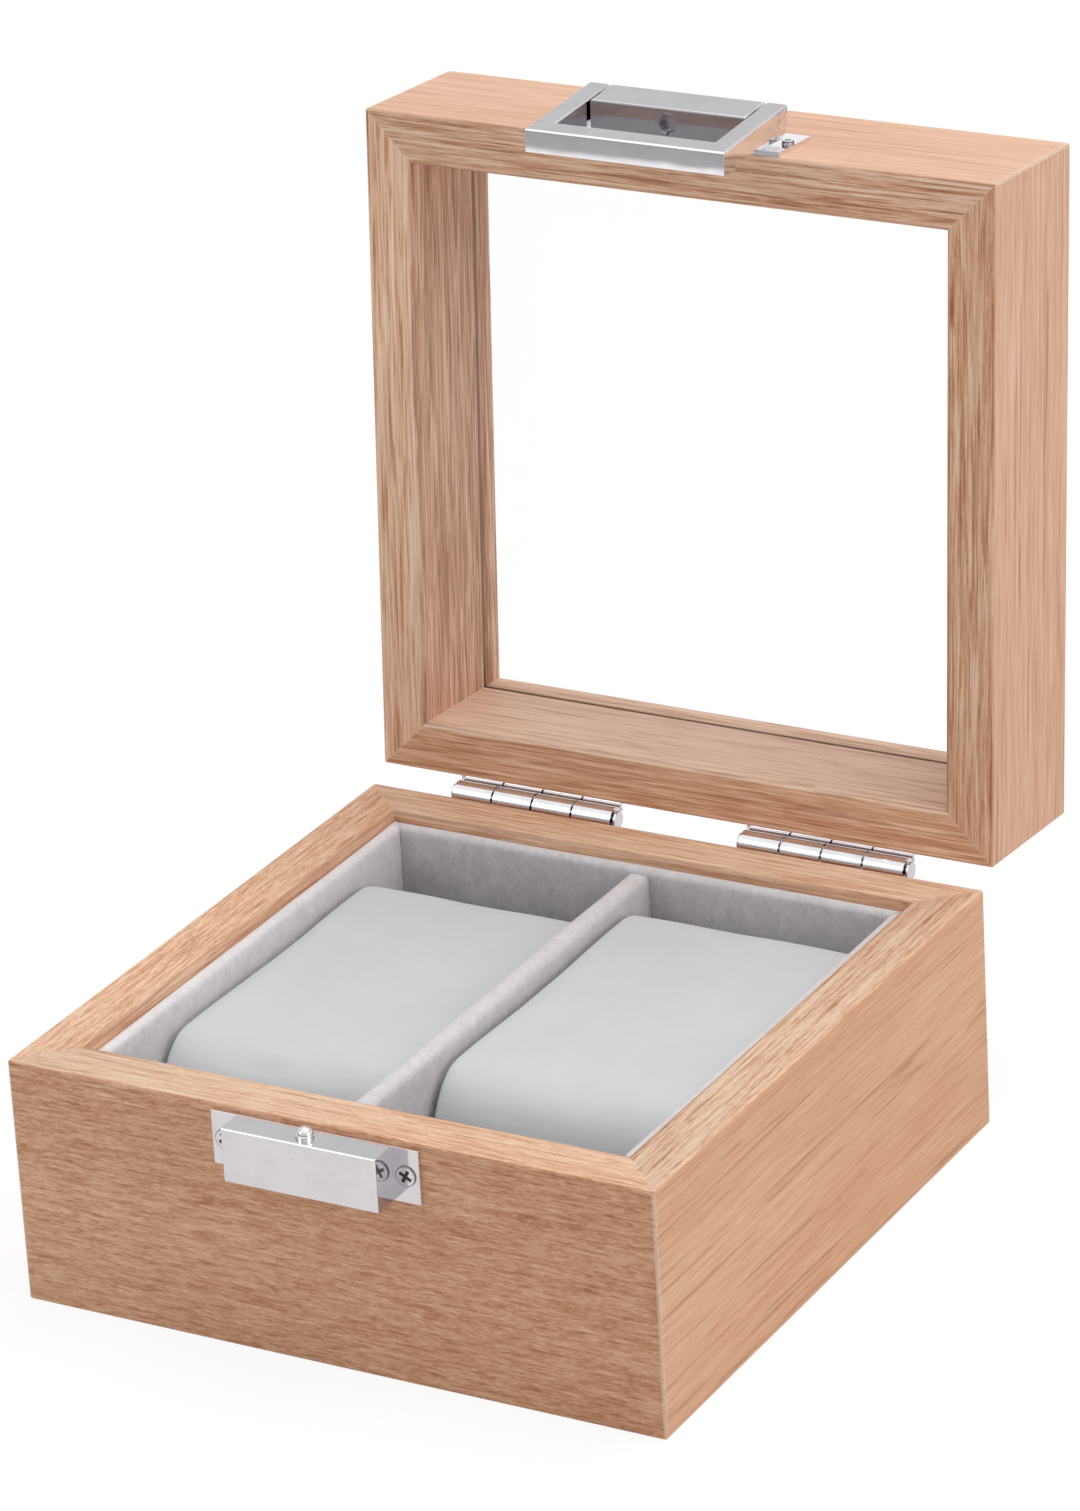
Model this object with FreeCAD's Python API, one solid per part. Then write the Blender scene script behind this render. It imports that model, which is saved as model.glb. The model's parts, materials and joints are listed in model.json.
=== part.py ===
import FreeCAD, Part
import math
import os

# A two-pillow watch box: a mitred base with a velvet lining, a glazed lid on two butt hinges,
# and a chrome clasp at the front. Millimetres, X to the right, Y to the back, Z up.
# The origin is the centre of the underside. The lid is stored open.

# Case
box_width = 125.0
box_depth = 125.0
base_height = 46.0
lid_height = 30.5
board_thickness = 10.0
lid_rail_thickness = 9.4
lid_bevel = 3.0
edge_round = 0.5
rim_gap = 0.3
lid_open_angle = 94.0

# Bottom
felt_thickness = 1.0
bottom_thickness = 4.0
bottom_rebate = 4.5
bottom_clearance = 0.2

# Lining
lining_thickness = 2.5
lining_drop = 1.4
lining_round = 1.1
lining_clearance = 0.15
floor_lining_thickness = 1.5
divider_thickness = 4.0
divider_drop = 0.3
divider_round = 1.7

# Pillows
pillow_end_room = 17.7
pillow_side_gap = 0.9
left_pillow_height = 34.0
right_pillow_height = 35.4
left_pillow_back_gap = 6.85
right_pillow_back_gap = 2.35
pillow_shoulder_radius = 8.0
pillow_shoulder_turn = 55.0
pillow_crown = 0.6
pillow_edge_round = 1.2
pillow_skin = 1.2
foam_clearance = 0.1

# Lid glass
glass_thickness = 2.0
glass_lip = 5.8
glass_groove_depth = 3.0
glass_clearance = 0.15

# Hinges
hinge_length = 33.2
hinge_end_inset = 16.3
hinge_setback = 3.0
hinge_drop = 0.5
hinge_barrel_radius = 2.4
hinge_pin_radius = 0.7
hinge_pin_head_radius = 1.8
hinge_pin_head = 0.5
hinge_leaf_thickness = 0.8
hinge_leaf_height = 13.0
hinge_screw_spacing = 20.0
hinge_screw_drop = 8.0
knuckle_count = 4
knuckle_gap = 0.4
knuckle_clearance = 0.15
running_clearance = 0.05

# Screws
hinge_screw_head_radius = 1.5
hinge_screw_head = 0.6
catch_screw_head_radius = 1.9
catch_screw_head = 0.3
hasp_screw_head_radius = 1.1
hasp_screw_head = 0.7
screw_radius = 0.8
screw_length = 6.5
screw_clearance = 0.1
pilot_clearance = 0.03
head_round_share = 0.7
recess_width = 0.4
recess_length_share = 0.7
recess_depth_share = 0.7

# Catch on the base
clasp_offset = -1.2
catch_width = 40.0
catch_height = 10.0
catch_drop = 0.9
catch_plate_thickness = 0.9
catch_block_width = 29.8
catch_block_depth = 5.4
catch_round = 0.35
ball_radius = 1.5
ball_reach = 2.0
ball_stem = 3.5
spring_length = 5.0
spring_wall = 0.4
spring_clearance = 0.25

# Hasp on the lid
hasp_width = 39.0
hasp_bar_width = 3.9
hasp_overhang = 15.7
hasp_end_bar = 4.2
hasp_lip_gap = 0.3
hasp_slope = 7.0
hasp_arm_radius = 2.7
hasp_pivot_rise = 5.6
hasp_pivot_height = 4.35
hasp_pin_radius = 0.8
hasp_round = 0.35
hasp_plate_thickness = 0.9
hasp_plate_rise = 12.6
hasp_ear = 2.4
hasp_screw_inset = 1.2
hasp_screw_rise = 6.2
mount_rise = 0.3
mount_block_width = 30.4
socket_radius = 1.7
socket_wall = 0.3
socket_depth = 1.6
socket_slit = 0.4

# Levels and faces that follow from the sizes above
half_x = box_width / 2
half_y = box_depth / 2
inner_x = half_x - board_thickness
inner_y = half_y - board_thickness
lid_inner_x = half_x - lid_rail_thickness
lid_inner_y = half_y - lid_rail_thickness
bottom_top = felt_thickness + bottom_thickness
floor_top = bottom_top + floor_lining_thickness
lining_top = base_height - lining_drop
lining_x = inner_x - lining_clearance
lining_y = inner_y - lining_clearance
well_x = lining_x - lining_thickness
well_y = lining_y - lining_thickness
pillow_length = 2 * well_y - pillow_end_room
lid_low = base_height + rim_gap
lid_high = lid_low + lid_height
hinge_y = half_y + hinge_setback
hinge_z = base_height - hinge_drop
hinge_axis = FreeCAD.Vector(0, hinge_y, hinge_z)
catch_top = base_height - catch_drop
catch_low = catch_top - catch_height
catch_front = -half_y - catch_plate_thickness
ball_y = catch_front - catch_block_depth / 2
pivot_y = -half_y - hasp_pivot_height
pivot_z = lid_low + hasp_pivot_rise


def vec(x, y, z):
    return FreeCAD.Vector(x, y, z)


def box(low, high):
    size = [high[i] - low[i] for i in range(len(low))]
    return Part.makeBox(*size, vec(*low))


def rod(radius, start, end):
    run = vec(*end) - vec(*start)
    return Part.makeCylinder(radius, run.Length, vec(*start), run)


def plate(points, run):
    face = Part.Face(Part.makePolygon(points + points[:1]))
    return face.extrude(run)


def opened(shape):
    turned = shape.copy()
    turned.rotate(hinge_axis, vec(-1, 0, 0), lid_open_angle)
    return turned


def save(name, *solids):
    shape = solids[0] if len(solids) == 1 else Part.makeCompound(solids)
    shape.exportStep("parts/" + name + ".step")
    volume = sum(solid.Volume for solid in solids)
    print(f"{name:24s} {len(solids)} solid(s) {volume:10.2f} mm3 valid {shape.isValid()}")


# The corners at the two ends of each side, seen from above
side_corners = {
    "front": ((-1, -1), (1, -1)),
    "right": ((1, -1), (1, 1)),
    "back": ((1, 1), (-1, 1)),
    "left": ((-1, 1), (-1, -1)),
}


# The stretch of a four-sided ring between its two mitred corners
def mitred(ring, side, ring_x, ring_y, reach):
    room = ring.BoundBox
    outer = [(x * (ring_x + reach), y * (ring_y + reach)) for x, y in side_corners[side]]
    inner = [(x * (ring_x - reach), y * (ring_y - reach)) for x, y in side_corners[side]]
    outline = outer + inner[::-1]
    wedge = plate([vec(x, y, room.ZMin - reach) for x, y in outline], vec(0, 0, room.ZLength + 2 * reach))
    return ring.common(wedge).Solids[0]


# The edges of a shape that lie flat at one height, inside a given half width and half depth
def level_edges(shape, level, most_x, most_y):
    found = []
    for edge in shape.Edges:
        bounds = edge.BoundBox
        flat = abs(bounds.ZMin - level) + abs(bounds.ZMax - level) < running_clearance
        inside = bounds.XMax < most_x and bounds.YMax < most_y
        if flat and inside:
            found.append(edge)
    return found


# A case side wall: a box with softened outer edges and an opening through it, softened at its rim
def case_ring(low, high, rim, thickness):
    block = box((-half_x, -half_y, low), (half_x, half_y, high))
    block = block.makeFillet(edge_round, block.Edges)
    open_x = half_x - thickness
    open_y = half_y - thickness
    ring = block.cut(box((-open_x, -open_y, low - thickness), (open_x, open_y, high + thickness)))
    return ring.makeFillet(edge_round, opening_edges(ring, rim, thickness))


# The edges of a case ring's opening at one height
def opening_edges(ring, level, thickness):
    return level_edges(ring, level, half_x - thickness / 2, half_y - thickness / 2)


# A screw with a round head and a cross recess. Its head sits on seat and faces out.
def screw(seat, out, head_radius, head_height):
    shank = Part.makeCylinder(screw_radius, screw_length, vec(0, 0, -screw_length))
    head = Part.makeCylinder(head_radius, head_height)
    top_edge = [edge for edge in head.Edges if edge.BoundBox.ZMin > head_height / 2]
    head = head.makeFillet(head_height * head_round_share, top_edge)
    recess_depth = head_height * recess_depth_share
    arm = head_radius * recess_length_share
    for long_x, long_y in ((arm, recess_width / 2), (recess_width / 2, arm)):
        slot = box((-long_x, -long_y, head_height - recess_depth), (long_x, long_y, head_height))
        head = head.cut(slot)
    whole = head.fuse(shank)
    whole.Placement = FreeCAD.Placement(vec(*seat), FreeCAD.Rotation(vec(0, 0, 1), vec(*out)))
    return whole.Solids[0]


# The hole that a screw takes up: a clear hole in the plate and a pilot hole in the board
def screw_hole(seat, out, radius):
    start = vec(*seat)
    end = start - vec(*out) * (screw_length + screw_clearance)
    return rod(radius, start, end)


pilot_radius = screw_radius + pilot_clearance
clear_radius = screw_radius + screw_clearance
back_out = (0, 1, 0)
front_out = (0, -1, 0)

# Screw places: on the hinge leaves, on the catch plate's ears and on the hasp plate's ears
hinge_centre = half_x - hinge_end_inset - hinge_length / 2
hinge_centres = {"left": -hinge_centre, "right": hinge_centre}
hinge_screw_xs = []
for centre in hinge_centres.values():
    hinge_screw_xs += [centre - hinge_screw_spacing / 2, centre + hinge_screw_spacing / 2]
leaf_face = half_y + hinge_leaf_thickness
base_leaf_seats = [(x, leaf_face, hinge_z - hinge_screw_drop) for x in hinge_screw_xs]
lid_leaf_seats = [(x, leaf_face, hinge_z + hinge_screw_drop) for x in hinge_screw_xs]
catch_ear = (catch_width + catch_block_width) / 4
catch_middle = (catch_low + catch_top) / 2
catch_seats = [(clasp_offset + side * catch_ear, catch_front, catch_middle) for side in (-1, 1)]
hasp_plate_half = hasp_width / 2 + hasp_ear
hasp_plate_front = -half_y - hasp_plate_thickness
hasp_screw_x = hasp_plate_half - hasp_screw_inset
hasp_screw_z = lid_low + hasp_screw_rise
hasp_seats = [(clasp_offset + side * hasp_screw_x, hasp_plate_front, hasp_screw_z) for side in (-1, 1)]


# Base: four mitred boards, a bottom panel in their rebate, and a felt sheet flush underneath
def base_boards():
    ring = case_ring(0, base_height, base_height, board_thickness)
    rebate_x = inner_x + bottom_rebate
    rebate_y = inner_y + bottom_rebate
    ring = ring.cut(box((-rebate_x, -rebate_y, -bottom_top), (rebate_x, rebate_y, bottom_top)))
    for seat in base_leaf_seats:
        ring = ring.cut(screw_hole(seat, back_out, pilot_radius))
    for seat in catch_seats:
        ring = ring.cut(screw_hole(seat, front_out, pilot_radius))
    for side in side_corners:
        save("base_" + side + "_board", mitred(ring, side, half_x, half_y, board_thickness * 2))


def base_bottom():
    panel_x = inner_x + bottom_rebate - bottom_clearance
    panel_y = inner_y + bottom_rebate - bottom_clearance
    save("base_bottom_panel", box((-panel_x, -panel_y, felt_thickness), (panel_x, panel_y, bottom_top)))
    save("underside_felt", box((-panel_x, -panel_y, 0), (panel_x, panel_y, felt_thickness)))


# Lining: a covered floor, four covered side cards with rounded tops, and a divider between them
def lining():
    save("lining_floor", box((-lining_x, -lining_y, bottom_top), (lining_x, lining_y, floor_top)))
    ring = box((-lining_x, -lining_y, floor_top), (lining_x, lining_y, lining_top))
    ring = ring.cut(box((-well_x, -well_y, floor_top), (well_x, well_y, lining_top)))
    ring = ring.makeFillet(lining_round, level_edges(ring, lining_top, half_x, half_y))
    for side in side_corners:
        save("lining_" + side, mitred(ring, side, lining_x, lining_y, lining_thickness * 2))
    divider_x = divider_thickness / 2
    divider_y = well_y - lining_clearance
    divider_top = lining_top - divider_drop
    divider = box((-divider_x, -divider_y, floor_top), (divider_x, divider_y, divider_top))
    long_edges = [edge for edge in level_edges(divider, divider_top, half_x, half_y)
                  if edge.BoundBox.YLength > divider_thickness]
    save("centre_divider", divider.makeFillet(divider_round, long_edges))


# A pillow's outline seen from the side: flat top and bottom, broad shoulders and a rounder nose.
# Inset draws the whole outline in.
def pillow_outline(x, middle_y, middle_z, half_height, inset):
    turn = math.radians(pillow_shoulder_turn)
    shoulder = pillow_shoulder_radius - inset
    height = half_height - inset
    nose = (height - shoulder * (1 - math.cos(turn))) / math.cos(turn)
    reach = shoulder * math.sin(turn) + nose * (1 - math.sin(turn))
    flat = pillow_length / 2 - inset - reach

    def point(along, up):
        return vec(x, middle_y + along, middle_z + up)

    def shoulder_point(angle):
        return flat + shoulder * math.sin(angle), height - shoulder * (1 - math.cos(angle))

    middle = shoulder_point(turn / 2)
    join = shoulder_point(turn)
    tip = (flat + reach, 0)
    edges = []
    for side in (1, -1):
        top_flat = point(side * flat, side * height)
        low_flat = point(side * flat, -side * height)
        top_join = point(side * join[0], side * join[1])
        low_join = point(side * join[0], -side * join[1])
        top_middle = point(side * middle[0], side * middle[1])
        low_middle = point(side * middle[0], -side * middle[1])
        edges.append(Part.LineSegment(point(-side * flat, side * height), top_flat).toShape())
        edges.append(Part.Arc(top_flat, top_middle, top_join).toShape())
        edges.append(Part.Arc(top_join, point(side * tip[0], 0), low_join).toShape())
        edges.append(Part.Arc(low_join, low_middle, low_flat).toShape())
    return Part.Wire(edges)


# A pillow: a crowned cover with drawn-in sides, flat where it rests, round a foam core
def pillow(name, inner_edge, outer_edge, back_gap, height):
    shift = well_y - back_gap - pillow_length / 2
    low_x = min(inner_edge, outer_edge) + pillow_side_gap
    high_x = max(inner_edge, outer_edge) - pillow_side_gap
    half_height = (height + pillow_crown) / 2
    middle_z = floor_top + height - half_height
    middle_x = (low_x + high_x) / 2
    sections = [(low_x, pillow_crown), (middle_x, 0), (high_x, pillow_crown)]
    wires = [pillow_outline(x, shift, middle_z, half_height, inset) for x, inset in sections]
    swell = Part.makeLoft(wires, True, False)
    side_edges = [edge for edge in swell.Edges if edge.BoundBox.XLength < running_clearance]
    swell = swell.makeFillet(pillow_edge_round, side_edges)
    floor = box((low_x - board_thickness, -half_y, -base_height),
                (high_x + board_thickness, half_y, floor_top))
    cover = swell.cut(floor)
    core_inset = pillow_crown + pillow_skin
    room = pillow_outline(low_x + pillow_skin, shift, middle_z, half_height, core_inset)
    hollow = Part.Face(room).extrude(vec(high_x - low_x - 2 * pillow_skin, 0, 0))
    foam_wire = pillow_outline(low_x + pillow_skin + foam_clearance, shift, middle_z, half_height,
                               core_inset + foam_clearance)
    foam_run = high_x - low_x - 2 * pillow_skin - 2 * foam_clearance
    save(name + "_cover", cover.cut(hollow).Solids[0])
    save(name + "_core", Part.Face(foam_wire).extrude(vec(foam_run, 0, 0)))


# Lid: four mitred rails with a groove and a bevelled window edge, the glass in that groove
groove_high = lid_high - glass_lip
groove_low = groove_high - glass_thickness - 2 * glass_clearance


def lid_rails():
    ring = case_ring(lid_low, lid_high, lid_low, lid_rail_thickness)
    ring = ring.makeChamfer(lid_bevel, opening_edges(ring, lid_high, lid_rail_thickness))
    groove_x = lid_inner_x + glass_groove_depth
    groove_y = lid_inner_y + glass_groove_depth
    ring = ring.cut(box((-groove_x, -groove_y, groove_low), (groove_x, groove_y, groove_high)))
    for seat in lid_leaf_seats:
        ring = ring.cut(screw_hole(seat, back_out, pilot_radius))
    for seat in hasp_seats:
        ring = ring.cut(screw_hole(seat, front_out, pilot_radius))
    for side in side_corners:
        rail = mitred(ring, side, half_x, half_y, lid_rail_thickness * 2)
        save("lid_" + side + "_rail", opened(rail))
    glass_x = groove_x - glass_clearance
    glass_y = groove_y - glass_clearance
    glass = box((-glass_x, -glass_y, groove_low + glass_clearance),
                (glass_x, glass_y, groove_high - glass_clearance))
    save("lid_glass", opened(glass))


# A rod along the hinge axis, from one place across the box to another
def axis_rod(radius, low_x, high_x):
    return rod(radius, (low_x, hinge_y, hinge_z), (high_x, hinge_y, hinge_z))


# Hinges: a cranked leaf on each back face, with knuckles in turn round one pin.
# Each leaf is hollowed to clear the knuckles of the other one.
def hinge_leaf(centre, rising, knuckles, seats):
    start = centre - hinge_length / 2
    end = start + hinge_length
    far_z = hinge_z + rising * hinge_leaf_height
    web_outer = hinge_z + rising * hinge_barrel_radius
    web_inner = web_outer - rising * hinge_leaf_thickness
    leaf = box((start, half_y, min(web_inner, far_z)), (end, leaf_face, max(web_inner, far_z)))
    web = box((start, half_y, min(web_inner, web_outer)), (end, hinge_y, max(web_inner, web_outer)))
    leaf = leaf.fuse(web)
    pitch = hinge_length / knuckle_count
    for knuckle in range(knuckle_count):
        low_x = start + knuckle * pitch
        high_x = low_x + pitch
        if knuckle in knuckles:
            leaf = leaf.fuse(axis_rod(hinge_barrel_radius, low_x + knuckle_gap / 2, high_x - knuckle_gap / 2))
        else:
            room = hinge_barrel_radius + knuckle_clearance
            leaf = leaf.cut(axis_rod(room, low_x - knuckle_gap / 2, high_x + knuckle_gap / 2))
    bore = axis_rod(hinge_pin_radius + running_clearance, start - hinge_length, end + hinge_length)
    leaf = leaf.removeSplitter().cut(bore)
    for seat in seats:
        leaf = leaf.cut(screw_hole(seat, back_out, clear_radius))
    return leaf.Solids[0]


def hinges():
    lid_knuckles = range(0, knuckle_count, 2)
    base_knuckles = range(1, knuckle_count, 2)
    for name, centre in hinge_centres.items():
        save("hinge_" + name + "_base_leaf", hinge_leaf(centre, -1, base_knuckles, base_leaf_seats))
        save("hinge_" + name + "_lid_leaf", opened(hinge_leaf(centre, 1, lid_knuckles, lid_leaf_seats)))
        end = hinge_length / 2 + running_clearance
        pin = axis_rod(hinge_pin_radius, centre - end, centre + end)
        for side in (-1, 1):
            head_start = centre + side * end
            pin = pin.fuse(axis_rod(hinge_pin_head_radius, head_start, head_start + side * hinge_pin_head))
        save("hinge_" + name + "_pin", pin.Solids[0])
    save("hinge_base_screws", *[screw(seat, back_out, hinge_screw_head_radius, hinge_screw_head)
                                for seat in base_leaf_seats])
    save("hinge_lid_screws", *[opened(screw(seat, back_out, hinge_screw_head_radius, hinge_screw_head))
                               for seat in lid_leaf_seats])


# Catch on the base front: a screwed plate, a block in front of it, and a sprung ball in the block
def catch():
    plate_half = catch_width / 2
    back_plate = box((clasp_offset - plate_half, catch_front, catch_low),
                     (clasp_offset + plate_half, -half_y, catch_top))
    for seat in catch_seats:
        back_plate = back_plate.cut(screw_hole(seat, front_out, clear_radius))
    save("catch_plate", back_plate)
    block_half = catch_block_width / 2
    block = box((clasp_offset - block_half, catch_front - catch_block_depth, catch_low),
                (clasp_offset + block_half, catch_front, catch_top))
    front_edges = [edge for edge in block.Edges if edge.BoundBox.YMax < catch_front - catch_block_depth / 2]
    block = block.makeFillet(catch_round, front_edges)
    stem_low = catch_top - ball_stem
    bore_low = stem_low - spring_length
    bore = rod(ball_radius + running_clearance, (clasp_offset, ball_y, bore_low),
               (clasp_offset, ball_y, catch_top + ball_reach))
    save("catch_block", block.cut(bore))
    dome_z = catch_top + ball_reach - ball_radius
    stem = rod(ball_radius, (clasp_offset, ball_y, stem_low), (clasp_offset, ball_y, dome_z))
    dome = Part.makeSphere(ball_radius, vec(clasp_offset, ball_y, dome_z))
    save("catch_ball", stem.fuse(dome).removeSplitter().Solids[0])
    spring_radius = ball_radius - spring_clearance
    sleeve = rod(spring_radius, (clasp_offset, ball_y, bore_low), (clasp_offset, ball_y, stem_low))
    sleeve = sleeve.cut(rod(spring_radius - spring_wall, (clasp_offset, ball_y, bore_low),
                            (clasp_offset, ball_y, stem_low)))
    save("catch_spring", sleeve)
    save("catch_screws", *[screw(seat, front_out, catch_screw_head_radius, catch_screw_head)
                           for seat in catch_seats])


# Hasp on the lid front: a screwed plate, a mount block with a socket for the ball, and a frame
# that swings on a pin through the block
slope = math.radians(hasp_slope)
pivot_top = hasp_pivot_height + hasp_arm_radius / math.cos(slope)


# How far the sloping top stands off the lid's face, at a height above the lid's rim
def hasp_top(rise):
    return pivot_top + (rise - hasp_pivot_rise) * math.tan(slope)


# A point of the hasp's side outline, from its rise above the rim and its distance off the face
def hasp_point(x, rise, off):
    return vec(clasp_offset + x, -half_y - off, lid_low + rise)


# Softens the edges that lie on the sloping top
def soft_top(shape):
    top_edges = []
    for edge in shape.Edges:
        lifts = [-half_y - corner.Y - hasp_top(corner.Z - lid_low) for corner in edge.Vertexes]
        if all(abs(lift) < running_clearance for lift in lifts):
            top_edges.append(edge)
    return shape.makeFillet(hasp_round, top_edges)


def hasp_mount():
    mount_plate = box((clasp_offset - hasp_plate_half, hasp_plate_front, lid_low + mount_rise),
                      (clasp_offset + hasp_plate_half, -half_y, lid_low + hasp_plate_rise))
    for seat in hasp_seats:
        mount_plate = mount_plate.cut(screw_hole(seat, front_out, clear_radius))
    save("hasp_plate", opened(mount_plate))
    block_half = mount_block_width / 2
    block_high = hasp_pivot_rise + hasp_arm_radius
    outline = [
        hasp_point(-block_half, mount_rise, hasp_plate_thickness),
        hasp_point(-block_half, block_high, hasp_plate_thickness),
        hasp_point(-block_half, block_high, hasp_top(block_high)),
        hasp_point(-block_half, mount_rise, hasp_top(mount_rise)),
    ]
    block = soft_top(plate(outline, vec(mount_block_width, 0, 0)))
    pin_bore = rod(hasp_pin_radius + pilot_clearance, (clasp_offset - block_half, pivot_y, pivot_z),
                   (clasp_offset + block_half, pivot_y, pivot_z))
    socket_low = lid_low + mount_rise
    socket_high = socket_low + socket_depth
    cup = rod(socket_radius + socket_wall + pilot_clearance, (clasp_offset, ball_y, socket_low),
              (clasp_offset, ball_y, socket_high))
    save("hasp_block", opened(block.cut([pin_bore, cup])))
    socket = rod(socket_radius + socket_wall, (clasp_offset, ball_y, socket_low),
                 (clasp_offset, ball_y, socket_high))
    socket = socket.cut(rod(socket_radius, (clasp_offset, ball_y, socket_low),
                            (clasp_offset, ball_y, socket_high)))
    slit = box((clasp_offset - socket_slit / 2, ball_y, socket_low),
               (clasp_offset + socket_slit / 2, ball_y + socket_radius + 2 * socket_wall, socket_high))
    save("hasp_socket", opened(socket.cut(slit).Solids[0]))
    pin_half = hasp_width / 2
    pin = rod(hasp_pin_radius, (clasp_offset - pin_half, pivot_y, pivot_z),
              (clasp_offset + pin_half, pivot_y, pivot_z))
    save("hasp_pin", opened(pin))
    save("hasp_screws", *[opened(screw(seat, front_out, hasp_screw_head_radius, hasp_screw_head))
                          for seat in hasp_seats])


# One side arm's outline: a wedge, square at the top behind the pivot and round below it
def hasp_arm(x):
    low = hasp_pivot_height - hasp_arm_radius
    back_rise = hasp_pivot_rise + hasp_arm_radius
    round_reach = hasp_arm_radius / math.sqrt(2)
    top = hasp_point(x, back_rise, hasp_top(back_rise))
    end = hasp_point(x, back_rise, hasp_pivot_height)
    rounding = hasp_point(x, hasp_pivot_rise + round_reach, hasp_pivot_height - round_reach)
    bottom = hasp_point(x, hasp_pivot_rise, low)
    free_low = hasp_point(x, -hasp_overhang, low)
    free_top = hasp_point(x, -hasp_overhang, hasp_top(-hasp_overhang))
    edges = [
        Part.LineSegment(top, end).toShape(),
        Part.Arc(end, rounding, bottom).toShape(),
        Part.LineSegment(bottom, free_low).toShape(),
        Part.LineSegment(free_low, free_top).toShape(),
        Part.LineSegment(free_top, top).toShape(),
    ]
    return Part.Face(Part.Wire(edges)).extrude(vec(hasp_bar_width, 0, 0))


def hasp_frame():
    half = hasp_width / 2
    bar_rise = hasp_end_bar - hasp_overhang
    end_bar = plate([
        hasp_point(-half, -hasp_overhang, hasp_lip_gap),
        hasp_point(-half, bar_rise, hasp_lip_gap),
        hasp_point(-half, bar_rise, hasp_top(bar_rise)),
        hasp_point(-half, -hasp_overhang, hasp_top(-hasp_overhang)),
    ], vec(hasp_width, 0, 0))
    frame = end_bar.fuse([hasp_arm(-half), hasp_arm(half - hasp_bar_width)]).removeSplitter()
    frame = soft_top(frame)
    bore = rod(hasp_pin_radius + running_clearance, (clasp_offset - half, pivot_y, pivot_z),
               (clasp_offset + half, pivot_y, pivot_z))
    save("hasp_frame", opened(frame.cut(bore).Solids[0]))


os.makedirs("parts", exist_ok=True)
base_boards()
base_bottom()
lining()
pillow("pillow_left", -divider_thickness / 2, -well_x, left_pillow_back_gap, left_pillow_height)
pillow("pillow_right", divider_thickness / 2, well_x, right_pillow_back_gap, right_pillow_height)
lid_rails()
hinges()
catch()
hasp_mount()
hasp_frame()

hasp_pivot = opened(Part.Vertex(vec(clasp_offset, pivot_y, pivot_z))).Point
print("lid hinge axis", hinge_axis)
print("hasp pivot with the lid open", hasp_pivot)
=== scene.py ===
import json
import math
import bmesh
import bpy
from mathutils import Matrix, Quaternion, Vector, noise


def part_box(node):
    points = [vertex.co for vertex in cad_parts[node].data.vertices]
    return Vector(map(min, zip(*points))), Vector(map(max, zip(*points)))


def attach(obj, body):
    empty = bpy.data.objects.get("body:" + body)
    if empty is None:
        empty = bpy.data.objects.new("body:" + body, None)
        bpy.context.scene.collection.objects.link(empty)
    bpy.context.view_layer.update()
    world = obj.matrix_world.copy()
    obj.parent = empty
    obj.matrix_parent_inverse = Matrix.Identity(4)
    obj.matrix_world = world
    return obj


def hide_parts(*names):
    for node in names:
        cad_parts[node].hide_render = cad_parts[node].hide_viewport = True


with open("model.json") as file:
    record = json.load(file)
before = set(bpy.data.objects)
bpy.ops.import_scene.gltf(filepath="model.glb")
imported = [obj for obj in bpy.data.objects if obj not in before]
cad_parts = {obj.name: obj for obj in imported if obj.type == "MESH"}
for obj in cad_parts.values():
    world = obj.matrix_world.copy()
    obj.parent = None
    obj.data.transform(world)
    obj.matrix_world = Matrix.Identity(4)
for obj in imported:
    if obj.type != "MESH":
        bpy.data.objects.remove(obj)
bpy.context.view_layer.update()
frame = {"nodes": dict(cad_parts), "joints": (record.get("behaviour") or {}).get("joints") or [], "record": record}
mm = 0.001
tiny = 1e-6
scene = bpy.context.scene
print("frame loaded:", len(frame["nodes"]), "nodes")

# how the lid swings from closed to open, so that lid pieces are made closed and then turned
hinge = next(joint for joint in frame["joints"] if joint["name"] == "lid_hinge")
hingePoint = Vector(hinge["pos_m"])
openAngle = math.radians(hinge["range_deg"][1] - hinge["range_deg"][0])
openTurn = (Matrix.Translation(hingePoint) @ Matrix.Rotation(openAngle, 4, Vector(hinge["axis"]))
            @ Matrix.Translation(-hingePoint))
bodyOf = {node: body for body, nodes in frame["record"]["behaviour"]["bodies"].items() for node in nodes}


def closedPoints(node):
    return [openTurn.inverted() @ vertex.co for vertex in frame["nodes"][node].data.vertices]


def closedBox(node):
    points = closedPoints(node)
    low = Vector([min(point[axis] for point in points) for axis in range(3)])
    high = Vector([max(point[axis] for point in points) for axis in range(3)])
    return low, high


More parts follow.
